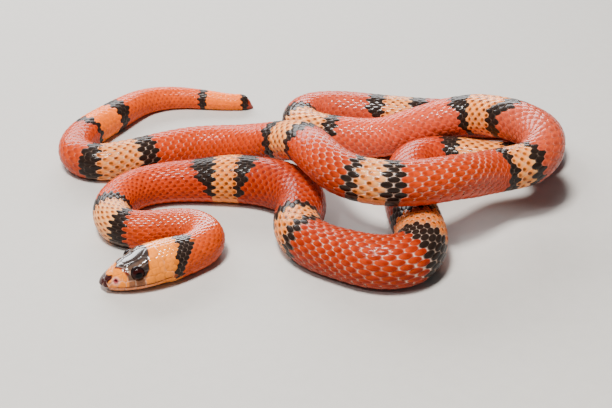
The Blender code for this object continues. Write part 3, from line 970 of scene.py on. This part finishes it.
def row_stations(start, end):
    """Stations one pitch apart, and those halfway between them."""
    fine = np.linspace(0, TOTAL_LENGTH, PITCH_STEPS)
    count = np.concatenate([[0], np.cumsum(np.diff(fine) / pitch((fine[1:] + fine[:-1]) / 2))])
    first = math.ceil(np.interp(start, fine, count))
    last = math.floor(np.interp(end, fine, count))
    numbers = np.arange(first, last + 1)
    return np.interp(numbers, count, fine), np.interp(numbers + 0.5, count, fine)


def lattice(start, end, rows, share, middle):
    """Stations and rounds of the scales, each second row set half a pitch behind."""
    even, odd = row_stations(start - LENGTHS_OVERLAP, end + LENGTHS_OVERLAP)
    stations = []
    rounds = []
    for row in range(rows):
        places = odd if row % 2 else even
        stations.append(places)
        rounds.append(np.full(len(places), middle + share * (2 * (row + 0.5) / rows - 1)))
    return np.concatenate(stations), np.concatenate(rounds)


def scale_form():
    """One scale, a rounded hexagon: places as shares of half its length and width, and faces.

    The third number is the share of the dome's height, or none on the rim that is sunk in the skin.
    """
    turn = 2 * math.pi * np.arange(OUTLINE) / OUTLINE
    ends = np.abs(np.cos(turn)) ** SCALE_CORNERS
    sides = (np.abs(np.sin(turn)) + SCALE_SLOPE * np.abs(np.cos(turn))) ** SCALE_CORNERS
    reach = (ends + sides) ** (-1 / SCALE_CORNERS)
    along = reach * np.cos(turn)
    across = reach * np.sin(turn)
    rings = []
    for size, rise in ((1.0, np.nan), (1.0, 0.0), (0.7, 0.62), (0.36, 0.92)):
        rings.append(np.column_stack([along * size, across * size, np.full(OUTLINE, rise)]))
    faces = []
    for ring in range(3):
        for i in range(OUTLINE):
            j = (i + 1) % OUTLINE
            a = ring * OUTLINE
            faces.append((a + i, a + j, a + OUTLINE + j))
            faces.append((a + i, a + OUTLINE + j, a + OUTLINE + i))
    middle, _ = fan_faces(3 * OUTLINE, OUTLINE, 4 * OUTLINE, (0, 1))
    return np.concatenate([*rings, [[0.0, 0.0, 1.0]]]), np.array(faces + middle)


def coat_piece(name, form, faces, seats, height, colours, material):
    """One joined piece of scales of one form, each at its seat.

    A seat is the station, the round, half the length along the body and half the way across it.
    """
    stations, at, half_long, half_wide = seats
    count = len(stations)
    size = len(form)
    station = stations[:, None] + half_long[:, None] * form[:, 0]
    station = np.clip(station, 0.1, TOTAL_LENGTH - 0.1)
    round_at = at[:, None] + half_wide[:, None] * form[:, 1]
    height = np.broadcast_to(height, station.shape)
    points = raised(station.ravel(), round_at.ravel(), height.ravel())
    points[:, 2] = np.maximum(points[:, 2], 0.0)
    faces = (faces + size * np.arange(count)[:, None, None]).reshape(-1, 3)
    local = np.tile(np.column_stack([form[:, :2], np.zeros(size)]), (count, 1))
    rooted = unwrapped(stations, wrapped(at), fold_of(stations))
    patch = rooted[:, None, :] + 0.5 * PATCH * form[:, :2]
    uvs = patch.reshape(-1, 2)[faces.ravel()]
    piece = add_mesh(name, points, faces, material, {**colours, "local": local}, uvs)
    piece.data.set_sharp_from_angle(angle=SHARP_ANGLE)
    return piece


def rim_colours(stations, rounds, root):
    """Colours of the rims of the scales, ivory on the pale ones, and how strong they are."""
    black, pale = marking(stations, rounds)
    on_neck = 1 - smooth(stations, 30, 60)
    share = 0.20 + 0.25 * stretch(stations) * (1 - black) + 0.35 * pale * spotted(stations)
    share += black * (0.15 * stretch(stations) + 0.15 * on_neck - 0.12)
    return with_alpha(blend(blend(root, NET, 0.5), NET, black), share)


def scale_gloss(stations, rounds):
    """How glossy the scales are, with the top of the neck the glossiest."""
    on_neck = 1 - smooth(stations, 30, 75)
    on_top = 1 - smooth(from_spine(rounds), 0.12, 0.35)
    return gloss(stations) + 0.7 * on_neck * on_top


def make_scales(name, stations, rounds, spacing, material, seed):
    """One joined piece of scales at given stations and rounds, with the space that each row takes."""
    form, faces = scale_form()
    count = len(stations)
    random = np.random.default_rng(seed)
    at = rounds + roll(stations)
    _, long = outward(stations, at)
    half_long = pitch(stations) * half_share(stations) * np.minimum(1.0, MOST_STRETCHED / long)
    tight, loose = SCALE_HALF_WIDTH
    half_wide = spacing * (tight + (loose - tight) * stretch(stations))
    half_long *= random.uniform(*SIZE_SPREAD, count)
    half_wide *= random.uniform(*SIZE_SPREAD, count)
    low = SCALE_FRONT + (SCALE_REAR - SCALE_FRONT) * ((form[:, 0] + 1) / 2)
    dome = SCALE_DOME * random.uniform(*DOME_SPREAD, count)
    height = low + dome[:, None] * np.nan_to_num(form[:, 2])
    height = np.where(np.isnan(form[:, 2]), SKIN_UNDER_SCALES - 0.05, height)
    root, main, tip, spot = tint(stations, rounds)
    shade = random.uniform(*SHADE_SPREAD, count)[:, None]
    spot = spot * random.uniform(*SPOT_SPREAD, count)
    ring = marking(stations, rounds)[1] * spotted(stations) * random.uniform(*RING_SPREAD, count)
    ring *= 1 - 0.5 * smooth(from_spine(at), 0.2, 0.6)
    colours = {
        "root": with_alpha(root * shade, ring),
        "tint": with_alpha(main * shade, scale_gloss(stations, rounds)),
        "tip": with_alpha(tip, spot),
        "rim": rim_colours(stations, rounds, root),
    }
    colours = {word: np.repeat(values, len(form), axis=0) for word, values in colours.items()}
    seats = (stations, at, half_long, half_wide)
    return coat_piece(name, form, faces, seats, height, colours, material)


def make_coat(material):
    """All scales over the back and the sides, and the small ones under the throat."""
    pieces = []
    for number, (start, end, rows, share, middle) in enumerate([*COAT_LENGTHS, THROAT]):
        stations, rounds = lattice(start, end, rows, share, middle)
        kept = stations > coat_start(rounds) + FIRST_SCALES_BEHIND
        stations = stations[kept]
        rounds = rounds[kept]
        spacing = np.full(len(stations), 2 * share / rows)
        order = np.argsort(stations, kind="stable")
        parts = math.ceil(len(stations) / SCALES_IN_A_PIECE)
        for part, chosen in enumerate(np.array_split(order, parts)):
            name = f"scales_{number + 1}_{part + 1}"
            places = stations[chosen], rounds[chosen], spacing[chosen]
            pieces.append(make_scales(name, *places, material, number * 10 + part))
    return pieces


def scute_form(steps):
    """One belly scute: places as shares along and across, rise, and faces."""
    across = np.linspace(-1, 1, steps + 1)
    ends = np.sqrt(np.maximum(0.0, 1 - np.abs(across) ** 14))
    form = []
    for along, rise in ((-1.0, 0.0), (-0.4, 0.45), (0.3, 0.9), (0.8, 1.0), (1.0, 0.8), (1.0, -1.0)):
        form.append(np.column_stack([along * (0.55 + 0.45 * ends), across, np.full(steps + 1, rise)]))
    faces = []
    width = steps + 1
    for row in range(len(form) - 1):
        for i in range(steps):
            a = row * width + i
            faces.append((a, a + width, a + width + 1))
            faces.append((a, a + width + 1, a + 1))
    return np.concatenate(form), np.array(faces)


def make_scutes(name, stations, middle, reach, steps, material, seed):
    """Broad scutes across the belly, one to a pitch, each lying a little over the next."""
    form, faces = scute_form(steps)
    size = len(form)
    random = np.random.default_rng(seed)
    at = np.broadcast_to(middle, len(stations))
    edge = smooth(np.abs(form[:, 1]), 0.8, 1.0)
    rise = form[:, 2]
    top = SCUTE_FRONT + (SCUTE_REAR - SCUTE_FRONT) * np.maximum(rise, 0) - 0.12 * edge
    height = np.where(rise < 0, SKIN_UNDER_SCALES, top)
    round_at = at[:, None] + reach[:, None] * form[:, 1]
    _, main, tip, _ = tint(np.repeat(stations, size), round_at.ravel())
    shade = np.repeat(random.uniform(*SCUTE_SHADE_SPREAD, len(stations)), size)[:, None]
    colours = {
        "root": with_alpha(main * shade, 0.0),
        "tint": with_alpha(main * shade, 0.2),
        "tip": with_alpha(tip, 0.0),
        "rim": with_alpha(blend(main, NET, 0.25), 0.35),
    }
    seats = (stations, at + roll(stations), SCUTE_HALF_LENGTH * pitch(stations), reach)
    return coat_piece(name, form, faces, seats, height, colours, material)


def belly_share(station):
    """Share of half the way round that a belly scute reaches from the middle of the belly."""
    reach = np.full(len(station), 0.3)
    for start, end, _, share, _ in COAT_LENGTHS:
        reach = np.where((station >= start) & (station < end), 1 - share + SCUTE_OVERLAP, reach)
    return reach


def make_belly(material):
    """Whole scutes up to the vent and pairs of them under the tail."""
    whole, _ = row_stations(SCUTES_START, VENT)
    pairs, _ = row_stations(VENT, TOTAL_LENGTH - 3)
    half = belly_share(pairs) / 2
    pieces = [
        ("belly_scutes", whole, 1.0, belly_share(whole), SCUTE_STEPS),
        ("tail_scutes_right", pairs, 1.0 - half, half * 0.99, SCUTE_STEPS // 2),
        ("tail_scutes_left", pairs, 1.0 + half, half * 0.99, SCUTE_STEPS // 2),
    ]
    return [make_scutes(*piece, material, BELLY_SEED + i) for i, piece in enumerate(pieces)]


# Eyes

def make_eye(word, side, material):
    """A ball with its pole looking out, so that iris and pupil are rings round it."""
    centre, look = eye_centre(side)
    _, along, _, up = route_frame(np.array(EYE_STATION))
    rings = 40
    sides = 48
    fall = math.pi * np.arange(1, rings) / rings
    turn = 2 * math.pi * np.arange(sides) / sides
    out = np.repeat(np.cos(fall), sides)[:, None] * look
    round_up = np.outer(np.sin(fall), np.sin(turn)).reshape(-1, 1) * up
    round_along = np.outer(np.sin(fall), np.cos(turn)).reshape(-1, 1) * along * side
    directions = np.concatenate([out + round_up + round_along, [look], [-look]])
    points = centre + directions * (EYE_DIAMETER / 2 - EYE_INSIDE)
    faces, ring, step = grid_faces(rings - 1, sides, 0)
    maps = [np.column_stack([step.ravel() / sides, (ring.ravel() + 1) / rings])]
    last = (rings - 2) * sides
    front = (0, sides, last + sides, (0, 1)), (1, 1, 0)
    back = (last, sides, last + sides + 1, (1, 0)), (rings - 1, rings - 1, rings)
    for fan, levels in (front, back):
        triangles, step = fan_faces(*fan)
        faces += triangles
        maps.append(np.column_stack([step.ravel() / sides, np.tile(levels, sides) / rings]))
    angle = np.degrees(np.arccos(np.clip(directions @ look, -1, 1)))
    local = np.column_stack([angle / 90, directions @ up, directions @ along])
    return add_mesh("eyeball_" + word, points, faces, material, {"local": local}, np.concatenate(maps))


# Materials

class Nodes:
    """Short calls for building a material's nodes."""

    def __init__(self, name):
        self.material = bpy.data.materials.new(name)
        self.material.use_nodes = True
        self.tree = self.material.node_tree
        self.shader = self.tree.nodes["Principled BSDF"]

    def put(self, socket, value):
        """Set a number or a colour on a socket, or link another socket to it."""
        if isinstance(value, (int, float)):
            socket.default_value = value
        elif isinstance(value, tuple):
            socket.default_value = (*value, 1)
        else:
            self.tree.links.new(value, socket)

    def add(self, kind, inputs, **settings):
        """The outputs of a new node with these settings and inputs."""
        node = self.tree.nodes.new(kind)
        for word, value in settings.items():
            setattr(node, word, value)
        for place, value in inputs.items():
            self.put(node.inputs[place], value)
        return node.outputs

    def attribute(self, word, output="Color"):
        return self.add("ShaderNodeAttribute", {}, attribute_name=word)[output]

    def local(self):
        """The three numbers of the attribute named local."""
        return self.add("ShaderNodeSeparateXYZ", {0: self.attribute("local", "Vector")})

    def math(self, operation, first, second):
        return self.add("ShaderNodeMath", {0: first, 1: second}, operation=operation)[0]

    def distance(self, first, second):
        """The square of the distance from the middle of a place given by two numbers."""
        squares = [self.math("MULTIPLY", value, value) for value in (first, second)]
        return self.math("ADD", *squares)

    def noise(self, size, detail=3.0):
        """Noise with features of about the size in millimetres."""
        place = self.add("ShaderNodeTexCoord", {})["Object"]
        inputs = {"Vector": place, "Scale": 1 / (size * MM), "Detail": detail}
        return self.add("ShaderNodeTexNoise", inputs)["Fac"]

    def mapped(self, value, low, high, to_low, to_high):
        words = ("Value", "From Min", "From Max", "To Min", "To Max")
        inputs = dict(zip(words, (value, low, high, to_low, to_high)))
        return self.add("ShaderNodeMapRange", inputs, interpolation_type="SMOOTHSTEP")["Result"]

    def mix(self, share, first, second, mode="MIX"):
        inputs = {0: share, 6: first, 7: second}
        return self.add("ShaderNodeMix", inputs, data_type="RGBA", blend_type=mode)[2]

    def mottled(self, colour, size, low, high):
        """The colour, made darker and lighter in soft patches of about the size."""
        patches = self.mapped(self.noise(size, 4.0), 0.25, 0.75, low, high)
        shade = self.add("ShaderNodeCombineColor", {0: patches, 1: patches, 2: patches})[0]
        return self.mix(1.0, colour, shade, "MULTIPLY")

    def bump(self, height, strength, distance):
        inputs = {"Height": height, "Strength": strength, "Distance": distance * MM}
        self.put(self.shader.inputs["Normal"], self.add("ShaderNodeBump", inputs)["Normal"])

    def finish(self, colour, roughness, coat, coat_roughness, specular):
        words = ("Base Color", "Roughness", "Coat Weight", "Coat Roughness", "Specular IOR Level")
        for word, value in zip(words, (colour, roughness, coat, coat_roughness, specular)):
            self.put(self.shader.inputs[word], value)
        return self.material


def scale_material():
    """Smooth horny scales: a darker spot near the tip, a pale rim, faint mottling and a soft gloss."""
    nodes = Nodes("scales")
    along, across, _ = nodes.local()
    front = nodes.mapped(along, -0.7, 0.2, 0.0, 1.0)
    colour = nodes.mix(front, nodes.attribute("root"), nodes.attribute("tint"))
    ahead = nodes.math("DIVIDE", nodes.math("SUBTRACT", along, 0.50), 0.40)
    away = nodes.distance(ahead, nodes.math("DIVIDE", across, 0.46))
    away = nodes.math("ADD", away, nodes.mapped(nodes.noise(0.5), 0.2, 0.8, -0.35, 0.35))
    ring = nodes.mapped(away, 0.8, 3.2, 1.0, 0.0)
    spot = nodes.mapped(away, 0.3, 1.5, 1.0, 0.0)
    rim = nodes.mapped(nodes.distance(along, across), 0.62, 0.95, 0.0, 1.0)
    layers = (("root", ring, RING_BROWN), ("tip", spot, None), ("rim", rim, None))
    for word, share, fixed in layers:
        share = nodes.math("MULTIPLY", share, nodes.attribute(word, "Alpha"))
        colour = nodes.mix(share, colour, fixed or nodes.attribute(word))
    colour = nodes.mottled(colour, 1.4, 0.84, 1.12)
    roughness = nodes.mapped(nodes.noise(0.8), 0.2, 0.8, 0.26, 0.42)
    nodes.bump(nodes.noise(0.25, 2.0), 0.25, 0.02)
    nodes.put(nodes.shader.inputs["Coat Weight"], nodes.attribute("tint", "Alpha"))
    return nodes.finish(colour, roughness, 0.2, 0.12, 0.04)


def skin_material():
    """Skin of the head plates and of the net between the scales."""
    nodes = Nodes("skin")
    colour = nodes.mottled(nodes.attribute("tint"), 0.9, 0.86, 1.1)
    roughness = nodes.mapped(nodes.noise(0.7), 0.2, 0.8, 0.22, 0.40)
    nodes.bump(nodes.noise(0.35), 0.3, 0.03)
    nodes.put(nodes.shader.inputs["Coat Weight"], nodes.attribute("tint", "Alpha"))
    return nodes.finish(colour, roughness, 0.5, 0.09, 0.12)


def eye_material():
    """A round black pupil in a dark red-brown iris with faint rays, under a wet clear cover."""
    nodes = Nodes("eye")
    away, _, _ = nodes.local()
    iris = nodes.mix(nodes.noise(0.3, 4.0), (0.012, 0.002, 0.002), (0.030, 0.006, 0.005))
    colour = nodes.mix(nodes.mapped(away, 0.30, 0.36, 0.0, 1.0), (0.002, 0.002, 0.002), iris)
    colour = nodes.mix(nodes.mapped(away, 0.62, 0.72, 0.0, 1.0), colour, (0.010, 0.006, 0.006))
    roughness = nodes.mapped(nodes.noise(0.5), 0.2, 0.8, 0.05, 0.09)
    return nodes.finish(colour, roughness, 0.14, 0.02, 0.04)


def floor_material():
    nodes = Nodes("floor")
    grain = nodes.noise(4.0, 5.0)
    colour = nodes.mix(grain, (0.46, 0.44, 0.41), (0.52, 0.50, 0.47))
    return nodes.finish(colour, nodes.mapped(grain, 0.2, 0.8, 0.75, 0.9), 0.0, 0.1, 0.5)


# Stage

def make_floor():
    bpy.ops.mesh.primitive_plane_add(size=FLOOR_SIZE, location=(0, 0, 0))
    floor = bpy.context.object
    floor.name = "floor"
    floor.data.materials.append(floor_material())


def add_lamp(name, place, width, height, energy, colour):
    """A soft lamp that faces the middle of the snake."""
    lamp = bpy.data.lights.new(name, "AREA")
    lamp.shape = "RECTANGLE"
    lamp.size = width
    lamp.size_y = height
    lamp.energy = energy
    lamp.color = colour
    thing = add_object(name, lamp)
    thing.location = place
    thing.rotation_euler = Vector(place).to_track_quat("Z", "Y").to_euler()


def make_light():
    """The lamps, and a dim sky."""
    world = bpy.data.worlds.new("dim_sky")
    world.use_nodes = True
    sky = world.node_tree.nodes["Background"]
    sky.inputs["Color"].default_value = SKY_COLOUR
    sky.inputs["Strength"].default_value = SKY_STRENGTH
    bpy.context.scene.world = world
    for name, lamp in LAMPS.items():
        add_lamp(name, *lamp)


def make_camera():
    """The photo's view: 30 degrees down, seen from the front."""
    camera = bpy.data.cameras.new("camera")
    camera.sensor_width = 36.0
    camera.lens = CAMERA_LENS
    camera.clip_start = 0.01
    thing = add_object("camera", camera)
    thing.location = CAMERA_PLACE
    thing.rotation_euler = (CAMERA_TILT, 0, 0)
    bpy.context.scene.camera = thing


# The whole animal

def build():
    scales = scale_material()
    skin = make_skin(skin_material())
    nodes_of_flesh = [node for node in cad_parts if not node.startswith("eye_")]
    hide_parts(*nodes_of_flesh)
    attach(skin, "root")
    for piece in [*make_coat(scales), *make_belly(scales)]:
        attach(piece, "root")
    look = eye_material()
    for word, side in (("left", -1), ("right", 1)):
        eye = make_eye(word, side, look)
        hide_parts("eye_" + word)
        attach(eye, "root")


build()
make_floor()
make_light()
make_camera()
